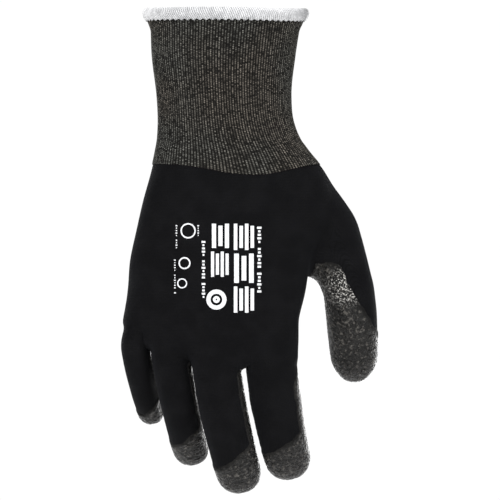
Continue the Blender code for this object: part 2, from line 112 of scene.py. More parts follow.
FINGERS = {
    "index": dict(
        across=(-11.3, -12.5, -12.3, -11.0), along=(177.9, 199.0, 221.0, 237.4),
        palmar=(-1.0, 4.7, 17.2, 31.5), half_width=(12.7, 10.9), half_depth=(10.3, 9.4),
        dome=12.5, root=(-1.5, 3.0, 14.0), apart=4.7, joint=5.5,
        film_sides=(132.0, 84.0), film_full=(-12.0, 0.0), film_lead=4.0, film_spread=18.0,
    ),
    "middle": dict(
        across=(-38.6, -39.2, -38.2, -36.4), along=(173.0, 197.2, 222.8, 239.5),
        palmar=(-2.5, 2.7, 16.3, 31.5), half_width=(12.0, 10.9), half_depth=(10.5, 9.5),
        dome=13.0, root=(0.0, 3.5, 14.0), apart=1.7, joint=5.8,
        film_sides=(130.0, 80.0), film_full=(-11.0, 0.5), film_lead=0.0, film_spread=8.0,
    ),
    "ring": dict(
        across=(-60.2, -60.3, -59.8, -58.6), along=(163.6, 185.2, 206.8, 221.0),
        palmar=(2.5, 8.8, 23.5, 39.5), half_width=(9.8, 9.0), half_depth=(9.8, 8.8),
        dome=11.0, root=(2.0, 3.0, 14.0), apart=-1.7, joint=5.5,
        film_sides=(132.0, 80.0), film_full=(-9.0, 1.5), film_lead=0.0, film_spread=8.0,
    ),
    "little": dict(
        across=(-77.0, -77.1, -76.8, -75.5), along=(154.9, 169.7, 184.4, 196.5),
        palmar=(7.0, 13.0, 26.4, 43.0), half_width=(7.3, 6.7), half_depth=(8.5, 7.6),
        dome=9.0, root=(5.5, 1.0, 12.0), apart=-5.1, joint=4.8,
        film_sides=(122.0, 76.0), film_full=(-2.0, 8.5), film_lead=0.0, film_spread=8.0,
    ),
}
END_JOINT = 4.0
BEND_ROUNDING = 6.0

# meshing
VOXEL = 0.8
GRID_LOW = np.array((-74.0, -28.0, -250.0))
GRID_HIGH = np.array((84.0, 54.0, -70.0))
KNIT_LEVEL = -0.15
KNIT_WALL = 1.1
FILM_RISE = 0.4
FILM_SINK = 0.35
HAND_TOP = -75.0
FINGER_MARGIN = 18.0
FAR = 60.0
OUTSIDE = 5.0
SETTLE_STEP = 0.15
SETTLE_REACH = 0.6
FLATTEST = 0.2

# the line through the webs, and how the fingers are held apart below it
WEB_LEVEL = -176.2
WEB_SLOPE = -0.27
APART_SPAN = (-7.0, 2.5)
FINGER_BLEND = 6.0
LITTLE_ROOT = (-55.0, 6.0, -158.0, 9.0)
CLOSING_REACH = 0.9
WEB_EASING = (1.0, 4.5, 36.0)
WEB_PASSES = 10
ROOT_PASSES = 60

# the cuts between pieces, and the film's edge
BASE_ZONE = (3.0, 11.0)
FILM_EDGE = 4.0
FILM_EDGE_RISES = ((2.0, -118.0, 20.0), (13.0, 34.0, 20.0))
FILM_START = -94.0
THUMB_LINE = ((60.0, -138.0), (75.0, -161.0))
CROTCH_ARCH = (50.0, -138.5, 9.6, 11.5, 9.0)
STALL_REACH = 4.0
THUMB_FILM_TOP = -128.0
FINGER_FILM_TOP = -150.0
FILM_FADE = 3.5
FILM_WAVES = ((0.8, 5.0, 0.0), (0.35, 1.6, 3.0))
FILM_CREASES = ((3.4, 7.0, 4.5), (1.5, 2.0, 4.0))
FILM_LOW = 0.16
CROTCH = (54.0, 8.0, -139.0)
CROTCH_SIZE = 11.0
WALE = 0.95
COURSE = 0.75
PALM_RADIUS = 43.0

# the cuff, its hem and the yarn inside it
CUFF_RIBS = 146
RIB_SAMPLES = 6
RIB_HEIGHT = 0.42
STITCH = 0.85
CUFF_TOP = -0.9
CUFF_FOOT = (-78.2, -6.2, 8.0)
CUFF_ROWS = 90
HEM_HEIGHT = 6.3
HEM_THREADS = 205
HEM_SAMPLES = 8
RIM_DIP = -1.5
RIM_FLARE = 1.3
CUFF_LAP = -66.0
CUFF_CLEARANCE = 0.25
CUFF_WALL = (1.2, 0.35)
ELASTIC_RADIUS = 0.35
ELASTIC_TURNS = 6
ELASTIC_SPAN = (-11.0, -41.0)
ELASTIC_STEPS = 140
ELASTIC_SIDES = 12

# colours and looks
# the centre of the painted highlights: pale flecks on the film near the thumb crotch
GLINT_SPOT = (0.059, 0.006, -0.139)
CUFF_TONES = ((0.0080, 0.0076, 0.0070, 1), (0.185, 0.177, 0.163, 1))

# the print: stripes, rings and ticks, as (across, height, ...) in millimetres
PRINT_STRIPES = (
    (8.0, -114.5, 11.0, 13.0, 4),
    (8.0, -130.0, 11.0, 14.5, 3),
    (8.0, -145.5, 11.0, 13.0, 4),
    (-3.6, -114.0, 9.6, 12.0, 3),
    (-3.9, -128.0, 9.6, 12.5, 4),
)
PRINT_RINGS = (
    (-5.6, -145.5, 2.9, 5.0),
    (-5.6, -145.5, 0.4, 1.7),
    (-19.6, -111.5, 3.1, 3.8),
    (-21.4, -127.5, 2.3, 3.0),
    (-22.6, -137.5, 1.9, 2.5),
)
PRINT_TICKS = (
    (15.6, -110.0, -146.0, 2.2, 1.05, 1.75),
    (-12.0, -117.0, -146.0, 1.9, 0.95, 1.6),
    (-14.6, -109.0, -116.0, 0.8, 0.6, 1.2),
    (-25.4, -109.0, -121.0, 0.9, 0.6, 1.2),
    (-26.2, -126.0, -144.0, 0.9, 0.6, 1.25),
)
PRINT_CELL = 1.0
STRIPE_STAGGER = 0.16
PRINT_RISE = 0.06
PRINT_SINK = 0.12
STRIPE_SHARE = 0.64

# the stage
FLOOR = -300.0
FLOOR_SIZE = 1.2
WORLD_LIGHT = 0.30
WORLD_SEEN = 1.02
CAMERA_DISTANCE = 1600.0
PHOTO_WIDTH = 250.0
CAMERA_AIM = (11.0, -121.0)
LIGHTS = (
    ("key", (-500.0, -900.0, 450.0), (0.5, 0.7), 15.0),
    ("fill", (800.0, -700.0, 100.0), (0.4, 0.8), 8.0),
    ("top", (100.0, 0.0, 800.0), (0.9, 0.9), 8.0),
    ("back", (-500.0, 900.0, 300.0), (0.8, 0.8), 9.0),
    ("low", (200.0, 500.0, -250.0), (0.6, 0.3), 4.0),
)
LIGHTS_AIM = (8.0, 0.0, -121.0)


def smooth(value):
    """A smooth step from 0 to 1, of any value or array."""
    t = np.clip(value, 0.0, 1.0)
    return t * t * (3 - 2 * t)


def soft_min(a, b, reach):
    """The lesser of two distances, rounded where they are nearly the same."""
    h = np.maximum(reach - np.abs(a - b), 0.0) / reach
    return np.minimum(a, b) - h * h * reach / 4


def unit(rows):
    """Rows scaled to a length of one."""
    return rows / np.maximum(np.linalg.norm(rows, axis=1), 1e-9)[:, None]


def station_curve(stations, column, samples=240):
    """A smooth curve through one column of a station list, as sampled arrays."""
    rows = sorted(stations, key=lambda row: row[0])
    places = np.array([row[0] for row in rows])
    values = np.array([row[column] for row in rows])
    slopes = np.gradient(values, places)
    at = np.linspace(places[0], places[-1], samples)
    i = np.clip(np.searchsorted(places, at, side="right") - 1, 0, len(places) - 2)
    span = places[i + 1] - places[i]
    t = (at - places[i]) / span
    curve = (1 + 2 * t) * (1 - t) ** 2 * values[i] + t * (1 - t) ** 2 * slopes[i] * span
    curve += t * t * (3 - 2 * t) * values[i + 1] + t * t * (t - 1) * slopes[i + 1] * span
    return at, curve


def read_curve(curve, at):
    """The value of a sampled curve."""
    return np.interp(at, curve[0], curve[1])


def rounded_line(points, rounding):
    """A polyline with its corners rounded, sampled about every millimetre."""
    line = [points[0]]
    for before, corner, after in zip(points, points[1:], points[2:]):
        start = corner + (before - corner) / np.linalg.norm(before - corner) * rounding
        end = corner + (after - corner) / np.linalg.norm(after - corner) * rounding
        for t in np.linspace(0.0, 1.0, 9):
            line.append((1 - t) ** 2 * start + 2 * t * (1 - t) * corner + t * t * end)
    line.append(points[-1])
    line = np.array(line)
    lengths = np.append(0.0, np.cumsum(np.linalg.norm(np.diff(line, axis=0), axis=1)))
    at = np.linspace(0.0, lengths[-1], int(lengths[-1]) + 2)
    return np.stack([np.interp(at, lengths, line[:, i]) for i in range(3)], axis=1), at


class Stall:
    """A finger or thumb: a tapering oval along a bent centre line."""

    def __init__(self, points, rounding, across, ends, dome, start):
        self.points, self.at = rounded_line(points, rounding)
        self.length = self.at[-1]
        heading = np.gradient(self.points, axis=0)
        self.heading = unit(heading)
        flat = across - self.heading * (self.heading @ across)[:, None]
        self.across = unit(flat)
        palmar = np.cross(self.heading, self.across)
        palmar *= np.sign(palmar @ PALMAR)[:, None]
        self.palmar = palmar
        self.corners = [self.nearest(p) for p in points]
        self.start = self.corners[start]
        self.width, self.depth = ends(self.corners)
        self.dome = self.length - dome

    def nearest(self, point):
        """The length of the centre line at the point nearest to a place."""
        return self.at[np.argmin(np.linalg.norm(self.points - point, axis=1))]

    def place(self, length):
        """The point of the centre line at a length."""
        return np.array([np.interp(length, self.at, self.points[:, i]) for i in range(3)])

    def locate(self, x):
        """Length along, place across and place palmar of each point."""
        close = np.zeros(len(x), int)
        for low in range(0, len(x), 20000):
            part = x[low:low + 20000]
            gap = ((part[:, None, :] - self.points[None]) ** 2).sum(-1)
            close[low:low + 20000] = gap.argmin(1)
        gap = x - self.points[close]
        along = self.at[close] + (gap * self.heading[close]).sum(1)
        return along, (gap * self.across[close]).sum(1), (gap * self.palmar[close]).sum(1)

    def distance(self, x):
        """The distance outside the stall's surface, and where each point lies on it."""
        along, across, palmar = self.locate(x)
        w = np.interp(along, self.width[0], self.width[1])
        h = np.interp(along, self.depth[0], self.depth[1])
        beyond = np.maximum(along - self.dome, 0.0)
        before = np.maximum(-along, 0.0)
        cap = (beyond / (self.length - self.dome)) ** 2 + (before / w) ** 2
        oval = np.abs(across / w) ** ROUNDNESS + np.abs(palmar / h) ** ROUNDNESS
        share = np.maximum(oval ** (2 / ROUNDNESS) + cap, 1e-6) ** 0.5
        reach = np.sqrt(across ** 2 + palmar ** 2 + beyond ** 2 + before ** 2)
        return reach * (1 - 1 / share), along, np.arctan2(palmar / h, across / w)


def finger_ends(size):
    """How a finger keeps its size to the middle joint and narrows to the tip."""
    def ends(corners):
        places = (corners[0], corners[2], corners[3], corners[4])
        curves = []
        for base, tip in (size["half_width"], size["half_depth"]):
            curves.append((places, (base, base, (base + tip) / 2, tip)))
        return curves
    return ends


def thumb_ends(corners):
    """The thumb's half sizes at its stations."""
    widths = station_curve([(s, row[3]) for s, row in zip(corners, THUMB_STATIONS)], 1)
    depths = station_curve([(s, row[4]) for s, row in zip(corners, THUMB_STATIONS)], 1)
    return widths, depths


def finger_stall(size):
    """The stall of one of the four fingers."""
    rows = zip(size["across"], size["along"], size["palmar"])
    points = [SIDE * a + DOWN * b + PALMAR * c for a, b, c in rows]
    points.insert(0, points[0] + np.array(size["root"]))
    return Stall(points, BEND_ROUNDING, SIDE, finger_ends(size), size["dome"], 1)


def thumb_stall():
    """The stall of the thumb, from inside the palm."""
    points = [np.array(row[:3]) for row in THUMB_STATIONS]
    return Stall(points, THUMB_ROUNDING, THUMB_ACROSS, thumb_ends, THUMB_DOME, THUMB_START)


PALM_CURVES = [station_curve(PALM_STATIONS, i) for i in range(1, 5)]
CUFF_CURVES = [station_curve(CUFF_STATIONS, i) for i in range(1, 4)]
STALLS = {name: finger_stall(size) for name, size in FINGERS.items()}
THUMB = thumb_stall()


def arch_at(x, height):
    """How far the palm's middle is bowed towards the palmar side."""
    t = x / ARCH_REACH
    share = smooth((ARCH_SPAN[0] - height) / (ARCH_SPAN[0] - ARCH_SPAN[1]))
    return share * (ARCH[0] + ARCH[1] * t + ARCH[2] * t * t)


def palm_distance(x):
    """The distance outside the palm, and the angle of each point on it."""
    end = PALM_STATIONS[-1][0]
    height = x[:, 2]
    for _ in range(2):
        left, right, depth, tilt = [read_curve(c, height) for c in PALM_CURVES]
        centre = (left + right) / 2
        height = x[:, 2] + tilt * (x[:, 0] - centre)
    left, right, depth, tilt = [read_curve(c, height) for c in PALM_CURVES]
    centre = (left + right) / 2
    width = (right - left) / 2
    across = x[:, 0] - centre
    palmar = x[:, 1] - arch_at(x[:, 0], height)
    beyond = np.maximum(end - height, 0.0)
    oval = np.abs(across / width) ** PALM_ROUNDNESS + np.abs(palmar / depth) ** PALM_ROUNDNESS
    share = np.maximum(oval ** (2 / PALM_ROUNDNESS) + (beyond / PALM_DOME) ** 2, 1e-6) ** 0.5
    reach = np.sqrt(across ** 2 + palmar ** 2 + beyond ** 2)
    return reach * (1 - 1 / share), np.arctan2(palmar / depth, across / width)


def web_distance(x):
    """The distance outside the skin between thumb and palm."""
    share = np.sqrt((((x - np.array(WEB_CENTRE)) / np.array(WEB_RADII)) ** 2).sum(1))
    share = np.maximum(share, 1e-3)
    return np.linalg.norm(x - np.array(WEB_CENTRE), axis=1) * (1 - 1 / share)


def below_webs(x):
    """How far each point lies below the line of the webs."""
    return WEB_LEVEL + WEB_SLOPE * x[:, 0] - x[:, 2]


def held_apart(x, name):
    """How far a finger is moved sideways while the hand is meshed."""
    low, high = APART_SPAN
    return FINGERS[name]["apart"] * smooth((below_webs(x) - low) / (high - low))


def finger_distance(x, name):
    """The distance outside a finger that is held apart from its neighbours."""
    shifted = x.copy()
    shifted[:, 0] -= held_apart(x, name)
    return STALLS[name].distance(shifted)


def form(x):
    """The distance outside the whole hand."""
    thumb = soft_min(palm_distance(x)[0], THUMB.distance(x)[0], THUMB_BLEND)
    body = soft_min(thumb, web_distance(x), WEB_BLEND)
    joined = body
    for name, stall in STALLS.items():
        low = stall.points.min(0) - FINGER_MARGIN
        high = stall.points.max(0) + FINGER_MARGIN
        near = ((x > low) & (x < high)).all(1)
        finger = np.full(len(x), FAR)
        finger[near] = finger_distance(x[near], name)[0]
        joined = np.minimum(joined, soft_min(body, finger, FINGER_BLEND))
    return joined


def mesh_form():
    """The hand form as points and quads, with its fingers held apart."""
    count = np.ceil((GRID_HIGH - GRID_LOW) / VOXEL).astype(int)
    axes = [GRID_LOW[i] + VOXEL * np.arange(count[i]) for i in range(3)]
    field = np.empty(tuple(count), np.float32)
    for i, x in enumerate(axes[0]):
        y, z = np.meshgrid(axes[1], axes[2], indexing="ij")
        points = np.stack([np.full(y.size, x), y.ravel(), z.ravel()], axis=1)
        field[i] = form(points).reshape(y.shape)
    field[:, :, -1] = OUTSIDE
    grid = openvdb.FloatGrid(background=OUTSIDE)
    grid.copyFromArray(np.minimum(field, OUTSIDE))
    points, quads = grid.convertToQuads(isovalue=KNIT_LEVEL)
    points = np.array(points, float) * VOXEL + GRID_LOW
    return points, np.array(quads, int)


def settle_on_form(points):
    """Points moved on to the knit surface of the form."""
    for _ in range(3):
        value = form(points) - KNIT_LEVEL
        slope = np.empty_like(points)
        for i in range(3):
            nudge = np.zeros(3)
            nudge[i] = SETTLE_STEP
            slope[:, i] = (form(points + nudge) - form(points - nudge)) / (2 * SETTLE_STEP)
        size = np.maximum((slope ** 2).sum(1), FLATTEST)
        points = points - np.clip(value / size, -SETTLE_REACH, SETTLE_REACH)[:, None] * slope
    return points


def relax(points, quads, passes, share=0.5):
    """Points drawn towards the middle of their neighbours."""
    edges = np.concatenate([quads[:, [i, (i + 1) % 4]] for i in range(4)])
    count = np.bincount(edges[:, 0], minlength=len(points)).astype(float)
    count += np.bincount(edges[:, 1], minlength=len(points))
    for _ in range(passes):
        total = np.zeros_like(points)
        np.add.at(total, edges[:, 0], points[edges[:, 1]])
        np.add.at(total, edges[:, 1], points[edges[:, 0]])
        points = points + share * (total / count[:, None] - points)
    return points


def normals_of(points, quads):
    """Unit normals at the points of a quad mesh, area weighted."""
    cross = np.cross(points[quads[:, 2]] - points[quads[:, 0]], points[quads[:, 3]] - points[quads[:, 1]])
    total = np.zeros_like(points)
    for i in range(4):
        np.add.at(total, quads[:, i], cross)
    return unit(total)


def close_fingers(points):
    """The meshed hand with its fingers moved back together."""
    values = np.stack([finger_distance(points, name)[0] for name in FINGERS])
    nearby = np.vstack([values, palm_distance(points)[0]])
    weights = np.exp(-(nearby - nearby.min(0)) / CLOSING_REACH)
    weights /= weights.sum(0)
    closed = points.copy()
    for weight, name in zip(weights, FINGERS):
        closed[:, 0] -= weight * held_apart(points, name)
    return closed, values


class Surface:
    """The hand's skin: where each point lies, and which part and piece each face is in."""

    def __init__(self, spread, quads):
        closed, values = close_fingers(spread)
        eased = relax(closed, quads, WEB_PASSES)
        level, reach, edge = WEB_EASING
        share = np.exp(-(((below_webs(spread) - level) / reach) ** 2)) * (spread[:, 0] < edge)
        root = np.linalg.norm(spread - np.array(LITTLE_ROOT[:3]), axis=1) / LITTLE_ROOT[3]
        self.spread = spread
        self.points = closed + share[:, None] * (eased - closed)
        flowing = relax(self.points, quads, ROOT_PASSES)
        self.points += np.exp(-(root ** 2))[:, None] * (flowing - self.points)
        self.quads = quads[closed[quads][:, :, 2].mean(1) < HAND_TOP]
        self.normals = normals_of(self.points, quads)
        self.local = self.locate(spread)
        self.part = self.part_of(values)
        self.film = self.film_margin()
        self.facet()

    def locate(self, spread):
        """Length along, angle from the palmar middle and base progress on each stall."""
        local = {}
        for name, stall in [*STALLS.items(), ("thumb", THUMB)]:
            shifted = spread.copy()
            if name in FINGERS:
                shifted[:, 0] -= held_apart(spread, name)
            away, along, angle = stall.distance(shifted)
            turned = np.pi / 2 - angle
            zone = BASE_ZONE if name in FINGERS else THUMB_BASE
            low, high = [stall.place(stall.start + z) for z in zone]
            reach = high - low
            progress = ((shifted - low) @ reach) / (reach @ reach)
            local[name] = (along, turned, progress, away)
        return local

    def part_of(self, values):
        """The part of the hand that each point belongs to; the palm is 0, the thumb 5."""
        part = np.zeros(len(self.spread), int)
        nearest = values.argmin(0)
        for i, name in enumerate(FINGERS):
            reached = (self.local[name][2] > 0) & (values[i] < STALL_REACH)
            part[(nearest == i) & reached] = i + 1
        palm = palm_distance(self.spread)[0]
        along, turned, progress, away = self.local["thumb"]
        part[(part == 0) & (away < palm) & (progress > 0)] = 5
        self.thumb_side = away < np.minimum(palm, values.min(0))
        self.nearest = nearest
        return part

    def film_margin(self):
        """How far each point lies inside the film's edge."""
        x, y, z = self.points.T
        edge = FILM_EDGE + arch_at(x, z)
        for height, value in zip(FILM_EDGE_RISES, (z, x)):
            edge = edge + height[0] * smooth((value - height[1]) / height[2])
        palm = np.minimum(y - edge, FILM_START - z)
        (x0, z0), (x1, z1) = THUMB_LINE
        run = math.hypot(x1 - x0, z1 - z0)
        line = ((x - x0) * (z1 - z0) - (z - z0) * (x1 - x0)) / run
        across, height, width, depth, rise = CROTCH_ARCH
        arch = (1 - np.hypot((x - across) / width, (z - height) / depth)) * rise
        thumb = np.maximum(np.maximum(line, arch), palm)
        on_thumb = self.thumb_side & (z < THUMB_FILM_TOP)
        margin = np.where(on_thumb, thumb, np.maximum(palm, arch))
        for i, name in enumerate(FINGERS):
            stall = STALLS[name]
            along, turned, progress, _ = self.local[name]
            angle = np.degrees(np.arctan2(np.sin(turned), np.cos(turned)))
            radius = np.interp(along, *stall.width) * math.pi / 180
            size = FINGERS[name]
            sides, full = size["film_sides"], size["film_full"]
            sided = np.where(angle > 0, sides[0] - angle, sides[1] + angle) * radius
            share = 0.5 - 0.5 * np.sin(np.radians(angle))
            tip = stall.corners[3] + full[0] + (full[1] - full[0]) * share
            own = np.maximum(sided, along - tip)
            weight = smooth((along - stall.start + size["film_lead"]) / size["film_spread"])
            weight = weight * (self.nearest == i) * (z < FINGER_FILM_TOP) * ~self.thumb_side
            margin = margin + weight * (own - margin)
        return margin

    def facet(self):
        """Parts, pieces and knit coordinates of the faces."""
        quads = self.quads
        votes = np.sort(self.part[quads], axis=1)
        self.face_part = votes[:, 1]
        self.face_piece = np.zeros(len(quads), int)
        self.uv = np.zeros((len(quads), 4, 2))
        palm_angle = palm_distance(self.spread)[1]
        for i, name in enumerate(["palm", *FINGERS, "thumb"]):
            mine = self.face_part == i
            if name == "palm":
                turned, along = np.pi / 2 - palm_angle, -self.points[:, 2]
                around = 2 * math.pi * PALM_RADIUS
            else:
                along, turned = self.local[name][:2]
                stall = THUMB if name == "thumb" else STALLS[name]
                around = 2 * math.pi * np.interp(stall.start, *stall.width)
            corner = turned[quads[mine]]
            middle = np.arctan2(np.sin(corner).mean(1), np.cos(corner).mean(1))[:, None]
            gap = np.arctan2(np.sin(corner - middle), np.cos(corner - middle))
            wales = round(around / WALE) / (2 * math.pi)
            self.uv[mine, :, 0] = (middle + gap) * wales
            self.uv[mine, :, 1] = along[quads[mine]] / COURSE
            if name == "palm":
                continue
            centre = along[quads[mine]].mean(1)
            self.face_piece[mine] = 1 + sum(centre > cut for cut in piece_cuts(name))


def bend_zones(name):
    """The lengths along a stall between which each of its pieces bends."""
    if name == "thumb":
        return [[THUMB.start + z for z in zone] for zone in (THUMB_BASE, THUMB_JOINT)]
    stall, joint = STALLS[name], FINGERS[name]["joint"]
    middle, end = stall.corners[2:4]
    base = [stall.start + z for z in BASE_ZONE]
    return [base, [middle - joint, middle + joint], [end - END_JOINT, end + END_JOINT]]


def piece_cuts(name):
    """The lengths along a stall where its pieces are cut apart."""
    zones = bend_zones(name)
    return [(before[1] + after[0]) / 2 for before, after in zip(zones, zones[1:])]


def build_mesh(name, points, faces, normals, uv):
    """A mesh object from arrays in millimetres, with its normals and knit coordinates."""
    mesh = bpy.data.meshes.new(name)
    mesh.vertices.add(len(points))
    mesh.vertices.foreach_set("co", (points * MM).astype(np.float32).ravel())
    mesh.loops.add(faces.size)
    mesh.loops.foreach_set("vertex_index", faces.astype(np.int32).ravel())
    mesh.polygons.add(len(faces))
    mesh.polygons.foreach_set("loop_start", np.arange(0, faces.size, 4, dtype=np.int32))
    mesh.update(calc_edges=True)
    mesh.shade_smooth()
    layer = mesh.uv_layers.new(name="knit")
    layer.data.foreach_set("uv", uv.astype(np.float32).ravel())
    if normals is not None:
        mesh.normals_split_custom_set_from_vertices([tuple(n) for n in normals])
    thing = bpy.data.objects.new(name, mesh)
    bpy.context.scene.collection.objects.link(thing)
    return thing


def closed_shell(name, outer, inner, normals, quads, uv, cover=None):
    """The faces chosen from a surface, closed with an inner wall and a rim."""
    used, index = np.unique(quads, return_inverse=True)
    quads = index.reshape(-1, 4)
    count = len(used)
    edges = np.stack([quads, np.roll(quads, -1, axis=1)], axis=2).reshape(-1, 2)
    corners = np.stack([uv, np.roll(uv, -1, axis=1)], axis=2).reshape(-1, 2, 2)
    key = np.sort(edges, axis=1)
    key = key[:, 0] * count + key[:, 1]
    _, first, times = np.unique(key, return_index=True, return_counts=True)
    rim = first[times == 1]
    a, b = edges[rim].T
    sides = np.stack([b, a, a + count, b + count], axis=1)
    side_uv = corners[rim][:, [1, 0, 0, 1]]
    faces = np.concatenate([quads, quads[:, ::-1] + count, sides])
    corner_uv = np.concatenate([uv, uv[:, ::-1], side_uv])
    points = np.concatenate([outer[used], inner[used]])
    turned = np.concatenate([normals[used], -normals[used]])
    thing = build_mesh(name, points, faces, turned, corner_uv)
    if cover is not None:
        layer = thing.data.attributes.new("cover", "FLOAT", "POINT")
        layer.data.foreach_set("value", np.tile(cover[used], 2).astype(np.float32))
    return thing


def split_quads(quads, count):
    """Quads cut in four; also the old points that each new point is the mean of."""
    edges = np.stack([quads, np.roll(quads, -1, axis=1)], axis=2).reshape(-1, 2)
    key = np.sort(edges, axis=1)
    pairs, index = np.unique(key[:, 0] * count + key[:, 1], return_inverse=True)
    index = index.reshape(-1, 4) + count
    middles = np.stack([pairs // count, pairs % count], axis=1)
    centre = count + len(pairs) + np.arange(len(quads))
    parts = []
    for i in range(4):
        parts.append(np.stack([quads[:, i], index[:, i], centre, index[:, i - 1]], axis=1))
    new = np.stack(parts, axis=1).reshape(-1, 4)

    def spread(values):
        edge = values[middles].mean(1)
        return np.concatenate([values, edge, values[quads].mean(1)])

    return new, spread


def split_uv(uv):
    """The coordinates of quads cut in four."""
    centre = uv.mean(1)
    following = (uv + np.roll(uv, -1, axis=1)) / 2
    parts = []
    for i in range(4):
        parts.append(np.stack([uv[:, i], following[:, i], centre, following[:, i - 1]], axis=1))
    return np.stack(parts, axis=1).reshape(-1, 4, 2)


def rough(points, size, seed=0.0):
    """Smooth noise of a size at each point."""
    offset = Vector((seed, seed * 1.7, -seed))
    return np.array([noise.noise(Vector(p) / size + offset) for p in points])


def each_piece(parts, pieces):
    """The part, number and faces of every piece that has faces."""
    for i, name in enumerate(["hand", *FINGERS, "thumb"]):
        for piece in range(4):
            mine = (parts == i) & (pieces == piece)
            if mine.any():
                yield name, piece, mine


def make_knit(skin):
    """The knit of the hand and its stalls, in pieces closed with an inner wall."""
    inner = skin.points - skin.normals * KNIT_WALL
    for name, piece, mine in each_piece(skin.face_part, skin.face_piece):
        title = "hand_fabric" if name == "hand" else f"{name}_fabric_{piece}"
        quads = skin.quads[mine]
        thing = closed_shell(title, skin.points, inner, skin.normals, quads, skin.uv[mine])
        thing.data.materials.append(LOOKS["hand_yarn"])
        settle_piece(thing, name, piece, "knit")


def settle_piece(thing, name, piece, layer):
    """A piece of the hand given its body; a piece of a finger or the thumb only has its transform baked.
    """
    if name == "hand":
        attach(thing, "hand")
        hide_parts("hand_knit" if layer == "knit" else "palm_coating")
        return
    stall = THUMB if name == "thumb" else STALLS[name]
    joints = ("base", "joint") if name == "thumb" else ("base", "mid_joint", "end_joint")
    segments = ("proximal", "tip") if name == "thumb" else ("proximal", "middle", "tip")
    low, high = [Vector(stall.place(s) * MM) for s in bend_zones(name)[piece - 1]]
    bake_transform(thing)
    joint, segment = joints[piece - 1], segments[piece - 1]
    nodes = [f"{joint}_knit", f"{segment}_knit"] if layer == "knit" else [f"{segment}_coating"]
    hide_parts(*[f"{name}_{node}" for node in nodes])


def make_film(skin):
    """The cured film over the knit, with its creases and its irregular edge."""
    margin = skin.film
    for height, size, seed in FILM_WAVES:
        margin = margin + height * rough(skin.points, size, seed)
    near = (margin[skin.quads] > -0.6).any(1)
    quads, spread = split_quads(skin.quads[near], len(skin.points))
    points, normals = spread(skin.points), unit(spread(skin.normals))
    margin = spread(margin)
    used = np.unique(quads)
    height = np.full(len(points), -FILM_SINK / 2)
    height[used] = film_height(points[used], margin[used])
    outer = points + normals * height[:, None]
    inner = points - normals * FILM_SINK
    faces = (margin[quads] > -0.5).any(1)
    cover = smooth(margin / FILM_FADE)
    turned = normals_of(outer, quads[faces])
    turned = np.where(np.linalg.norm(turned, axis=1)[:, None] > 0.5, turned, normals)
    uv = split_uv(skin.uv[near])
    part = np.where(faces, np.repeat(skin.face_part[near], 4), -1)
    number = np.repeat(skin.face_piece[near], 4)
    for name, piece, mine in each_piece(part, number):
        title = "palm_film" if name == "hand" else f"{name}_film_{piece}"
        thing = closed_shell(title, outer, inner, turned, quads[mine], uv[mine], cover)
        thing.data.materials.append(LOOKS["film"])
        settle_piece(thing, name, piece, "film")


def creases(points, size, seed, sharpness):
    """Narrow lines, 1 along their middle, where smooth noise passes through nothing."""
    return 1 - np.minimum(np.abs(rough(points, size, seed)) * sharpness, 1.0)


def film_height(points, margin):
    """How far the film stands above the knit at each point."""
    rise = -FILM_LOW + (FILM_RISE + FILM_LOW) * smooth((margin + 0.35) / 1.1)
    crease, fine = [creases(points, *one) for one in FILM_CREASES]
    pebble = rough(points, 0.7, 5.0)
    crotch = np.linalg.norm(points - np.array(CROTCH), axis=1) / CROTCH_SIZE
    crotch = np.exp(-(crotch ** 2))
    depth = 0.24 + 0.2 * crotch
    worked = smooth(margin / 1.2)
    return rise - worked * (depth * crease ** 2 + (0.12 + 0.25 * crotch) * fine - 0.08 * pebble)


def oval_angles(height, count):
    """Angles that space points evenly round the cuff, as read at a height."""
    fine = np.linspace(0, 2 * math.pi, 4001)
    line = cuff_point(np.full(fine.shape, height), fine, 0.0)
    run = np.append(0.0, np.cumsum(np.linalg.norm(np.diff(line, axis=0), axis=1)))
    return np.interp(np.linspace(0, run[-1], count + 1)[:-1], run, fine)


def cuff_point(height, angle, out):
    """Points of the cuff's surface, moved out by a distance."""
    left, right, depth = [read_curve(curve, height) for curve in CUFF_CURVES]
    width = (right - left) / 2 + out
    deep = depth + out
    cos, sin = np.cos(angle), np.sin(angle)
    x = (left + right) / 2 + width * np.sign(cos) * np.abs(cos) ** (2 / ROUNDNESS)
    y = deep * np.sign(sin) * np.abs(sin) ** (2 / ROUNDNESS)
    return np.stack([x, y, height + 0 * x], axis=-1)


def rim_dip(angle):
    """How far the opening's edge dips on the back of the hand."""
    return RIM_DIP * smooth((-np.sin(angle) + 0.2) / 1.1) * (1 + 0.25 * np.cos(angle))


def rim_flare(angle, height):
    """How far the opening flares out at its two ends."""
    return RIM_FLARE * np.abs(np.cos(angle)) ** 5 * smooth((height + 12.0) / 6.0)


def tube_faces(rows, count):
    """The quads of a tube, or of a closed ring of rows."""
    row = np.arange(rows - 1)[:, None] * count
    i = np.arange(count)[None, :]
    j = (i + 1) % count
    return np.stack([row + i, row + count + i, row + count + j, row + j], axis=-1).reshape(-1, 4)


def tube_uv(across, along, rows, count):
    """The knit coordinates of a tube's faces."""
    u = np.broadcast_to(np.arange(count + 1) * across, (rows, count + 1))
    grid = np.stack([u, along], axis=-1)
    a, b = grid[:-1, :-1], grid[1:, :-1]
    c, d = grid[1:, 1:], grid[:-1, 1:]
    return np.stack([a, b, c, d], axis=2).reshape(-1, 4, 2)


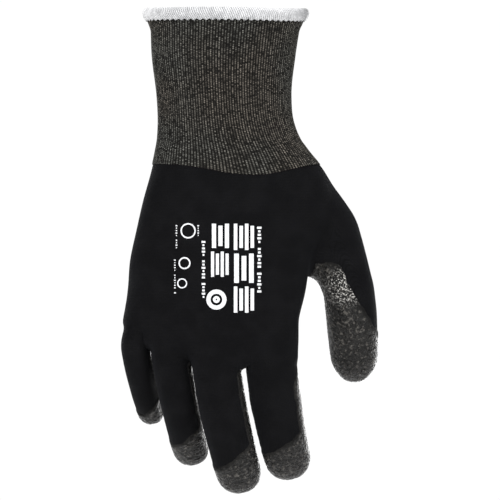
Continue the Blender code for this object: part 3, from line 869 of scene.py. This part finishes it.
def make_cuff():
    """The rib knit of the cuff, down to where the plain knit starts."""
    count = CUFF_RIBS * RIB_SAMPLES
    angle = oval_angles(-40.0, count)
    share = np.linspace(0.0, 1.0, CUFF_ROWS)[:, None]
    back = smooth((-np.sin(angle) - 0.1) / 1.1) * np.exp(-((np.cos(angle) - 0.18) ** 2) * 3.0)
    foot = CUFF_FOOT[0] + CUFF_FOOT[1] * back - 1.5 * smooth(np.sin(angle))
    top = (CUFF_TOP + rim_dip(angle))[None]
    height = top + share * (foot[None] - top)
    turned = np.broadcast_to(angle, height.shape)
    phase = np.arange(count) / RIB_SAMPLES
    rib = np.abs(np.cos(math.pi * phase)) ** 0.9 - 0.6
    fade = smooth(share / 0.02) * (1 - 0.75 * smooth((share - 0.975) / 0.025))
    stitch = 1 + 0.2 * np.cos(2 * math.pi * height / STITCH + math.pi * np.floor(phase))
    out = RIB_HEIGHT * rib[None] * fade * stitch + rim_flare(angle, height)
    surface = cuff_point(height, turned, out).reshape(-1, 3)
    flat = cuff_point(height, turned, rim_flare(angle, height)).reshape(-1, 3)
    low = surface[:, 2] < CUFF_LAP
    thin = smooth((CUFF_LAP - flat[:, 2]) / 6)
    short = np.maximum(CUFF_CLEARANCE - form(flat[low]), 0.0) * thin[low]
    outward = np.stack([np.cos(turned), np.sin(turned), 0 * turned], axis=-1).reshape(-1, 3)
    push = np.zeros(len(surface))
    push[low] = short
    surface += outward * push[:, None]
    flat += outward * push[:, None]
    quads = tube_faces(CUFF_ROWS, count)
    normals = normals_of(surface, quads)
    normals *= np.sign((normals * outward).sum(1).mean())
    through = normals_of(flat, quads)
    through *= np.sign((through * outward).sum(1).mean())
    wall = CUFF_WALL[0] + (CUFF_WALL[1] - CUFF_WALL[0]) * thin
    inner = flat - through * wall[:, None]
    along = np.pad(-height / STITCH, ((0, 0), (0, 1)), mode="wrap")
    uv = tube_uv(1 / RIB_SAMPLES, along, CUFF_ROWS, count)
    thing = closed_shell("cuff_rib_fabric", surface, inner, normals, quads, uv)
    thing.data.materials.append(LOOKS["cuff_yarn"])
    low, high = [Vector((0.0, 0.0, z * MM)) for z in WRIST_ZONE]
    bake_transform(thing)
    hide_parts("cuff_upper_knit", "cuff_wrist_knit", "cuff_lower_knit")


def make_hem():
    """The overlock hem: slanted threads wrapped over the cuff's raw edge."""
    count = HEM_THREADS * HEM_SAMPLES
    angle = oval_angles(-3.5, count)
    profile = hem_profile()
    rows = len(profile)
    phase = np.arange(count) / HEM_SAMPLES
    out, height = profile[:, 0][:, None], profile[:, 1][:, None]
    slant = phase[None] + height * 0.42
    thread = np.abs(np.cos(math.pi * slant)) ** 0.7
    wobble = 0.10 * rough(np.stack([phase, 0 * phase, 0 * phase], axis=1), 2.3)
    lump = 0.42 * (thread - 0.6) + wobble[None]
    scallop = 0.55 * np.cos(2 * math.pi * phase / 3.0 + 1.0) + 2.2 * wobble
    height = height + scallop[None] * smooth((-height - 5.2) / 1.8) + rim_dip(angle)[None]
    turned = np.broadcast_to(angle, (rows, count))
    height = np.broadcast_to(height, (rows, count))
    sign = np.where(profile[:, 0] > -0.6, 1.0, -1.0)[:, None]
    points = cuff_point(height, turned, out + lump * sign + rim_flare(angle, height)).reshape(-1, 3)
    ring = np.concatenate([tube_faces(rows, count), last_row_faces(rows, count)])
    length = np.append(profile[:, 2], profile[-1, 2] + 1.0)[:, None]
    along = np.broadcast_to(length, (rows + 1, count + 1))
    uv = tube_uv(1 / HEM_SAMPLES, along, rows + 1, count)
    thing = build_mesh("cuff_hem_threads", points, ring, None, uv)
    clean_normals(thing)
    thing.data.materials.append(LOOKS["hem_thread"])
    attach(thing, "cuff")
    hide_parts("cuff_hem")


def hem_profile():
    """The hem's section: distance out, height and length along, as a closed ring."""
    outside, inside = 1.35, -2.35
    line = [(outside - 0.5, -HEM_HEIGHT), (outside, -HEM_HEIGHT + 0.6)]
    line += [(outside + 0.7, -4.2), (outside + 0.65, -2.6), (outside + 0.2, -1.2), (outside - 0.6, -0.25)]
    line += [(-0.5, 0.0), (inside + 0.5, -0.25), (inside, -1.2), (inside - 0.3, -3.5)]
    line += [(inside, -HEM_HEIGHT + 0.5), (inside + 0.35, -HEM_HEIGHT), (-1.3, -HEM_HEIGHT + 0.1)]
    line += [(-1.35, -3.5), (-1.2, -0.85), (0.45, -0.85), (0.5, -3.5), (0.5, -HEM_HEIGHT + 0.15)]
    line = np.array(line)
    run = np.append(0.0, np.cumsum(np.linalg.norm(np.diff(line, axis=0), axis=1)))
    at = np.linspace(0.0, run[-1], 52)
    return np.stack([np.interp(at, run, line[:, 0]), np.interp(at, run, line[:, 1]), at], axis=1)


def last_row_faces(rows, count):
    """The quads that close a ring of rows."""
    i = np.arange(count)
    j = (i + 1) % count
    low = (rows - 1) * count
    return np.stack([low + i, i, j, low + j], axis=1)


def clean_normals(thing):
    """A closed mesh's faces turned outwards."""
    shape = bmesh.new()
    shape.from_mesh(thing.data)
    bmesh.ops.recalc_face_normals(shape, faces=shape.faces)
    shape.to_mesh(thing.data)
    shape.free()


def make_elastic():
    """The elastane yarn laid round and round inside the cuff."""
    steps = ELASTIC_TURNS * ELASTIC_STEPS
    turned = np.linspace(0, 2 * math.pi * ELASTIC_TURNS, steps + 1)
    height = np.linspace(ELASTIC_SPAN[0], ELASTIC_SPAN[1], steps + 1)
    inset = CUFF_WALL[0] + 0.3 + ELASTIC_RADIUS
    line = cuff_point(height, turned, -inset)
    heading = unit(np.gradient(line, axis=0))
    aside = unit(np.cross(heading, np.array((0.0, 0.0, 1.0))))
    lift = np.cross(aside, heading)
    sides = ELASTIC_SIDES
    twist = np.linspace(0, 2 * math.pi, sides + 1)[:-1]
    spin = np.arange(steps + 1)[:, None] * 0.5
    radius = ELASTIC_RADIUS * (1 + 0.12 * np.cos(3 * (twist[None] + spin)))
    rows = line[:, None] + radius[..., None] * (
        np.cos(twist)[None, :, None] * aside[:, None] + np.sin(twist)[None, :, None] * lift[:, None]
    )
    points = rows.reshape(-1, 3)
    quads = tube_faces(steps + 1, sides)
    tips = np.stack([points[:sides].mean(0), points[-sides:].mean(0)])
    first, last = len(points), len(points) + 1
    caps = []
    for i in range(0, sides, 2):
        a, b, c = i, (i + 1) % sides, (i + 2) % sides
        caps.append((first, a, b, c))
        caps.append((last, steps * sides + c, steps * sides + b, steps * sides + a))
    along = np.broadcast_to((np.arange(steps + 1) * 1.0)[:, None], (steps + 1, sides + 1))
    uv = tube_uv(1.0, along, steps + 1, sides)
    faces = np.concatenate([quads, np.array(caps)])
    uv = np.concatenate([uv, np.zeros((len(caps), 4, 2))])
    thing = build_mesh("cuff_elastic_yarn", np.concatenate([points, tips]), faces, None, uv)
    clean_normals(thing)
    thing.data.materials.append(LOOKS["elastane"])
    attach(thing, "cuff")
    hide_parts("elastic_yarn")


class Nodes:
    """A material's node tree, with short calls for adding to it."""

    def __init__(self, name):
        self.material = bpy.data.materials.new(name)
        self.material.use_nodes = True
        self.tree = self.material.node_tree
        self.shader = self.tree.nodes["Principled BSDF"]

    def add(self, kind, settings=None, **inputs):
        """A node with its settings; an input may be a value or another node's output."""
        node = self.tree.nodes.new("ShaderNode" + kind)
        for key, value in (settings or {}).items():
            setattr(node, key, value)
        for key, value in inputs.items():
            self.set(node.inputs[int(key[1:]) if key[1:].isdigit() else key], value)
        return node

    def put(self, name, value):
        """A value or a link on one of the shader's sockets."""
        self.set(self.shader.inputs[name], value)

    def set(self, socket, value):
        """A value or a link on a socket."""
        if isinstance(value, bpy.types.NodeSocket):
            self.tree.links.new(value, socket)
        else:
            socket.default_value = value

    def math(self, operation, a, b=0.0):
        """The result of a maths node."""
        return self.add("Math", {"operation": operation}, i0=a, i1=b).outputs[0]

    def mix(self, share, a, b, blend="MIX"):
        """A mixture of two colours."""
        node = self.add("Mix", {"data_type": "RGBA", "blend_type": blend})
        self.set(node.inputs[0], share)
        self.set(node.inputs[6], a)
        self.set(node.inputs[7], b)
        return node.outputs[2]

    def noise(self, where, scale, detail=2.0, roughness=0.5):
        """A noise pattern's value."""
        node = self.add("TexNoise", None, Vector=where, Scale=scale, Detail=detail, Roughness=roughness)
        return node.outputs[0]

    def range(self, value, low, high, to_low=0.0, to_high=1.0):
        """A value carried from one range to another and held to it."""
        node = self.add("MapRange", {"interpolation_type": "SMOOTHSTEP"}, i0=value, i1=low, i2=high)
        node.inputs[3].default_value = to_low
        node.inputs[4].default_value = to_high
        return node.outputs[0]

    def bump(self, height, distance, strength=1.0, under=None):
        """A bump on top of another."""
        node = self.add("Bump", None, Strength=strength, Distance=distance, Height=height)
        if under is not None:
            self.set(node.inputs["Normal"], under)
        return node.outputs[0]

    def place(self):
        """The place of a point on its object."""
        return self.add("TexCoord").outputs["Object"]

    def knit_place(self):
        """The wale and course that a point lies on."""
        uv = self.add("UVMap", {"uv_map": "knit"}).outputs[0]
        split = self.add("SeparateXYZ", None, i0=uv)
        return uv, split.outputs[0], split.outputs[1]

    def stitches(self, u, v, lean=0.30):
        """The height of plain knit: two leaning legs to each stitch."""
        cell = self.math("FRACT", u)
        fold = self.math("ABSOLUTE", self.math("SUBTRACT", cell, 0.5))
        rise = self.math("ADD", v, self.math("MULTIPLY", fold, lean * 4))
        leg = self.math("ABSOLUTE", self.math("SINE", self.math("MULTIPLY", rise, math.pi)))
        round_leg = self.math("SINE", self.math("MULTIPLY", fold, 2 * math.pi))
        return self.math("MULTIPLY", leg, self.math("POWER", round_leg, 0.6))


def hand_yarn_look():
    """Matt black plain knit with fine wales, and painted shade in the gaps between its stitches."""
    n = Nodes("hand_yarn_knit")
    uv, u, v = n.knit_place()
    place = n.place()
    stitch = n.stitches(u, v)
    patch = n.noise(place, 90.0, 3.0)
    fibre = n.noise(place, 5200.0, 2.0, 0.7)
    dark = n.mix(n.range(patch, 0.35, 0.7), (0.0040, 0.0040, 0.0046, 1), (0.0066, 0.0066, 0.0074, 1))
    # painted shade: the gaps between the stitch legs are painted darker than the yarn
    colour = n.mix(n.range(stitch, 0.0, 0.8), (0.0022, 0.0022, 0.0024, 1), dark)
    n.put("Base Color", colour)
    n.put("Roughness", 0.85)
    n.put("Specular IOR Level", 0.04)
    n.put("Sheen Weight", 0.012)
    n.put("Sheen Roughness", 0.4)
    n.put("Sheen Tint", (0.8, 0.85, 1.0, 1))
    fuzz = n.bump(fibre, 0.00012, 0.5)
    n.put("Normal", n.bump(stitch, 0.00022, 0.6, fuzz))
    return n.material


def film_look():
    """Near-black cured film: pebbled and finely creased, with painted highlights on its pebbles
    and painted glints near the thumb crotch; thin at its edge.
    """
    n = Nodes("film_cured")
    place = n.place()
    uv, u, v = n.knit_place()
    stitch = n.stitches(u, v)
    cover = n.add("Attribute", {"attribute_name": "cover"}).outputs["Fac"]
    pores = n.add("TexVoronoi", {"feature": "F1"}, Vector=place, Scale=900.0).outputs["Distance"]
    pebble = n.noise(place, 620.0, 3.0, 0.6)
    patch = n.noise(place, 70.0, 4.0, 0.6)
    ridged = {"noise_type": "RIDGED_MULTIFRACTAL"}
    ridges = n.add("TexNoise", ridged, Vector=place, Scale=330.0, Detail=3.0).outputs[0]
    tone = n.mix(n.range(patch, 0.35, 0.68), (0.0030, 0.0028, 0.0026, 1), (0.0085, 0.0080, 0.0073, 1))
    # painted highlight: the pebble tops of the thick film are painted pale, as if lit
    pebble_highlight = n.math("MULTIPLY", n.range(pebble, 0.52, 0.68, 0.0, 0.9), cover)
    tone = n.mix(pebble_highlight, tone, (0.072, 0.067, 0.060, 1))
    # painted highlight: pale flecks near the thumb crotch stand for glints of light on the film
    wear_and_glint = n.add("VectorMath", {"operation": "DISTANCE"}, i0=place, i1=GLINT_SPOT).outputs["Value"]
    crotch_glints = n.range(n.noise(place, 1300.0, 2.0), 0.53, 0.60)
    crotch_glints = n.math("MULTIPLY", crotch_glints, n.range(wear_and_glint, 0.004, 0.013, 1.0, 0.0))
    tone = n.mix(crotch_glints, tone, (0.42, 0.41, 0.39, 1))
    n.put("Base Color", tone)
    gloss = n.range(patch, 0.3, 0.7, 0.34, 0.22)
    edge = n.range(cover, 0.0, 1.0, 0.55, 0.0)
    n.put("Roughness", n.math("ADD", gloss, edge))
    n.put("Specular IOR Level", 0.17)
    low = n.bump(stitch, 0.00012, 0.35)
    low = n.bump(ridges, 0.0016, 1.0, low)
    low = n.bump(pebble, 0.0014, 1.0, low)
    n.put("Normal", n.bump(pores, 0.0003, 0.6, low))
    return n.material


def cuff_yarn_look():
    """Rib knit of black yarn plied with grey and straw threads, seen stitch by stitch."""
    n = Nodes("cuff_yarn_rib")
    uv, u, v = n.knit_place()
    place = n.place()
    wale = n.math("FLOOR", n.math("ADD", u, 0.5))
    across = n.math("ABSOLUTE", n.math("SUBTRACT", n.math("ADD", u, 0.5), n.math("ADD", wale, 0.5)))
    shifted = n.math("ADD", v, n.math("MULTIPLY", wale, 0.37))
    course = n.math("FLOOR", shifted)
    beat = n.math("ABSOLUTE", n.math("SUBTRACT", n.math("FRACT", shifted), 0.5))
    cell = n.add("CombineXYZ", None, i0=wale, i1=course).outputs[0]
    dice = n.add("TexWhiteNoise", {"noise_dimensions": "3D"}, Vector=cell)
    column = n.add("TexWhiteNoise", {"noise_dimensions": "1D"}, W=wale).outputs["Value"]
    ramp = n.add("ValToRGB", None, i0=dice.outputs["Value"])
    stops = ramp.color_ramp
    stops.elements[0].position = 0.0
    stops.elements[0].color = CUFF_TONES[0]
    stops.elements[1].position = 1.0
    stops.elements[1].color = CUFF_TONES[1]
    dot = n.math("MULTIPLY", n.range(across, 0.36, 0.12), n.range(beat, 0.52, 0.16))
    streak = n.noise(n.add("Mapping", None, Vector=uv, Scale=(1.4, 0.05, 1.0)).outputs[0], 3.0, 2.0)
    dot = n.math("MULTIPLY", dot, n.range(streak, 0.25, 0.6, 0.6, 1.0))
    dot = n.math("MULTIPLY", dot, n.range(column, 0.0, 1.0, 0.6, 1.0))
    cool = n.range(n.noise(place, 22.0, 1.0), 0.38, 0.62)
    warm = n.mix(cool, (1.0, 0.93, 0.85, 1), (0.90, 0.95, 0.93, 1))
    tint = n.mix(1.0, ramp.outputs[0], warm, "MULTIPLY")
    colour = n.mix(dot, (0.0055, 0.0050, 0.0045, 1), tint)
    n.put("Base Color", colour)
    n.put("Roughness", 0.9)
    n.put("Specular IOR Level", 0.06)
    n.put("Sheen Weight", 0.06)
    n.put("Sheen Roughness", 0.4)
    fibre = n.noise(place, 4200.0, 2.0, 0.7)
    fuzz = n.bump(fibre, 0.00015, 0.6)
    n.put("Normal", n.bump(dot, 0.0003, 0.8, fuzz))
    return n.material


def hem_thread_look():
    """White overlock thread, with painted shade in the grooves between its turns."""
    n = Nodes("hem_thread_overlock")
    uv, u, v = n.knit_place()
    place = n.place()
    height = n.add("SeparateXYZ", None, i0=place).outputs[2]
    slant = n.math("ADD", u, n.math("MULTIPLY", height, 420.0))
    ridge = n.math("ABSOLUTE", n.math("COSINE", n.math("MULTIPLY", slant, math.pi)))
    patch = n.noise(place, 350.0, 3.0)
    plies = n.math("SINE", n.math("MULTIPLY", n.math("ADD", v, n.math("MULTIPLY", u, 2.0)), 9.0))
    white = n.mix(n.range(patch, 0.3, 0.7), (0.40, 0.402, 0.41, 1), (0.55, 0.552, 0.56, 1))
    # painted shade: the grooves between the thread's turns are painted dark grey
    colour = n.mix(n.range(ridge, 0.12, 0.62), (0.10, 0.102, 0.107, 1), white)
    n.put("Base Color", colour)
    n.put("Roughness", 0.75)
    n.put("Specular IOR Level", 0.3)
    n.put("Sheen Weight", 0.2)
    ply = n.bump(plies, 0.00006, 0.5)
    n.put("Normal", n.bump(n.noise(place, 3800.0), 0.0001, 0.4, ply))
    return n.material


def elastane_look():
    """Pale stretch yarn with a soft gloss."""
    n = Nodes("elastane_yarn")
    place = n.place()
    patch = n.noise(place, 500.0, 3.0)
    n.put("Base Color", n.mix(patch, (0.62, 0.60, 0.54, 1), (0.80, 0.78, 0.73, 1)))
    n.put("Roughness", 0.5)
    n.put("Normal", n.bump(n.noise(place, 3000.0), 0.00008, 0.4))
    return n.material


def print_look():
    """White print pressed into the knit, greyer in patches of wear."""
    n = Nodes("back_print")
    place = n.place()
    wear = n.noise(place, 1400.0, 3.0, 0.7)
    wear_and_glint = n.range(wear, 0.35, 0.75)
    n.put("Base Color", n.mix(wear_and_glint, (0.50, 0.505, 0.52, 1), (0.66, 0.665, 0.68, 1)))
    n.put("Roughness", 0.6)
    n.put("Normal", n.bump(wear, 0.0001, 0.5))
    return n.material


def bar(across, height, width, length):
    """A rectangle of the print as a grid of corners."""
    columns = max(2, round(width / PRINT_CELL) + 1)
    rows = max(2, round(length / PRINT_CELL) + 1)
    x = np.linspace(across - width / 2, across + width / 2, columns)
    z = np.linspace(height - length / 2, height + length / 2, rows)
    return np.stack(np.meshgrid(x, z, indexing="ij"), axis=-1)


def ring_patch(across, height, inner, outer):
    """A ring of the print as a grid of corners, ending where it began."""
    turned = np.linspace(0, 2 * math.pi, 41)
    radius = np.linspace(inner, outer, max(2, round((outer - inner) / 0.7) + 1))
    x = across + radius[:, None] * np.cos(turned)
    z = height + radius[:, None] * np.sin(turned)
    return np.stack([x, z], axis=-1)


def print_patches():
    """Every shape of the print."""
    patches = []
    for across, height, width, length, count in PRINT_STRIPES:
        for i in range(count):
            shift = (i - (count - 1) / 2) / count
            short = 1 - STRIPE_STAGGER * (i % 2)
            wide = STRIPE_SHARE * width / count
            patches.append(bar(across + shift * width, height, wide, length * short))
    for ring in PRINT_RINGS:
        patches.append(ring_patch(*ring))
    for across, top, bottom, width, length, pitch in PRINT_TICKS:
        count = int((top - bottom) / pitch)
        for i in range(count):
            wide = width * (0.72 + 0.28 * math.cos(i * 2.4))
            if i % 7 != 5:
                patches.append(bar(across, top - i * pitch, wide, length))
    return patches


def make_print(skin):
    """The print laid on the back of the hand."""
    tree = BVHTree.FromPolygons(skin.points.tolist(), skin.quads.tolist())
    points, normals, quads = [], [], []
    for patch in print_patches():
        low = len(points)
        rows, columns = patch.shape[:2]
        for x, z in patch.reshape(-1, 2):
            hit, normal = tree.ray_cast(Vector((x, -80.0, z)), Vector((0, 1, 0)))[:2]
            points.append(hit)
            normals.append(normal)
        grid = low + np.arange(rows * columns).reshape(rows, columns)
        cells = np.stack([grid[:-1, :-1], grid[1:, :-1], grid[1:, 1:], grid[:-1, 1:]], axis=-1)
        quads.append(cells.reshape(-1, 4))
    points, normals = np.array(points), np.array(normals)
    quads = weld_rings(points, np.concatenate(quads))
    outer = points + normals * PRINT_RISE
    inner = points - normals * PRINT_SINK
    face = normals_of(points, quads)
    if (face * normals).sum() < 0:
        quads = quads[:, ::-1]
    thing = closed_shell("back_print", outer, inner, normals, quads, np.zeros((len(quads), 4, 2)))
    thing.data.materials.append(LOOKS["print"])
    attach(thing, "hand")


def weld_rings(points, quads):
    """The quads with every point that lies on another replaced by the first."""
    _, first, same = np.unique(np.round(points, 4), axis=0, return_index=True, return_inverse=True)
    return first[same.reshape(-1)][quads]


def make_stage():
    """A pale floor, soft lights, a white world and the camera."""
    bpy.ops.mesh.primitive_plane_add(size=FLOOR_SIZE, location=(0, 0, FLOOR * MM))
    floor = bpy.context.object
    floor.name = "floor"
    n = Nodes("pale_floor")
    n.put("Base Color", (0.9, 0.9, 0.9, 1))
    n.put("Roughness", 0.9)
    floor.data.materials.append(n.material)
    world = bpy.data.worlds.new("studio")
    world.use_nodes = True
    sky = world.node_tree.nodes["Background"]
    sky.inputs[0].default_value = (1.0, 1.0, 1.0, 1.0)
    path = world.node_tree.nodes.new("ShaderNodeLightPath")
    level = world.node_tree.nodes.new("ShaderNodeMapRange")
    level.inputs["To Min"].default_value = WORLD_LIGHT
    level.inputs["To Max"].default_value = WORLD_SEEN
    world.node_tree.links.new(path.outputs["Is Camera Ray"], level.inputs["Value"])
    world.node_tree.links.new(level.outputs[0], sky.inputs[1])
    bpy.context.scene.world = world
    bpy.context.scene.view_settings.view_transform = "Standard"
    for name, place, size, power in LIGHTS:
        light = bpy.data.lights.new(name, "AREA")
        light.shape = "RECTANGLE"
        light.size, light.size_y = size
        light.energy = power
        lamp = bpy.data.objects.new(name, light)
        lamp.location = Vector(place) * MM
        aim = Vector(LIGHTS_AIM) * MM - lamp.location
        lamp.rotation_euler = aim.to_track_quat("-Z", "Y").to_euler()
        bpy.context.scene.collection.objects.link(lamp)
    lens = bpy.data.cameras.new("photo_view")
    lens.lens = 36.0 * CAMERA_DISTANCE / PHOTO_WIDTH
    lens.clip_end = 100.0
    camera = bpy.data.objects.new("photo_view", lens)
    camera.location = Vector((CAMERA_AIM[0], -CAMERA_DISTANCE, CAMERA_AIM[1])) * MM
    camera.rotation_euler = (math.pi / 2, 0, 0)
    bpy.context.scene.collection.objects.link(camera)
    bpy.context.scene.camera = camera


LOOKS = {
    "hand_yarn": hand_yarn_look(),
    "film": film_look(),
    "cuff_yarn": cuff_yarn_look(),
    "hem_thread": hem_thread_look(),
    "elastane": elastane_look(),
    "print": print_look(),
}

form_points, form_quads = mesh_form()
form_points = relax(form_points, form_quads, 3)
form_points = settle_on_form(form_points)
skin = Surface(form_points, form_quads)
make_knit(skin)
make_film(skin)
make_cuff()
make_hem()
make_elastic()
make_print(skin)
make_stage()
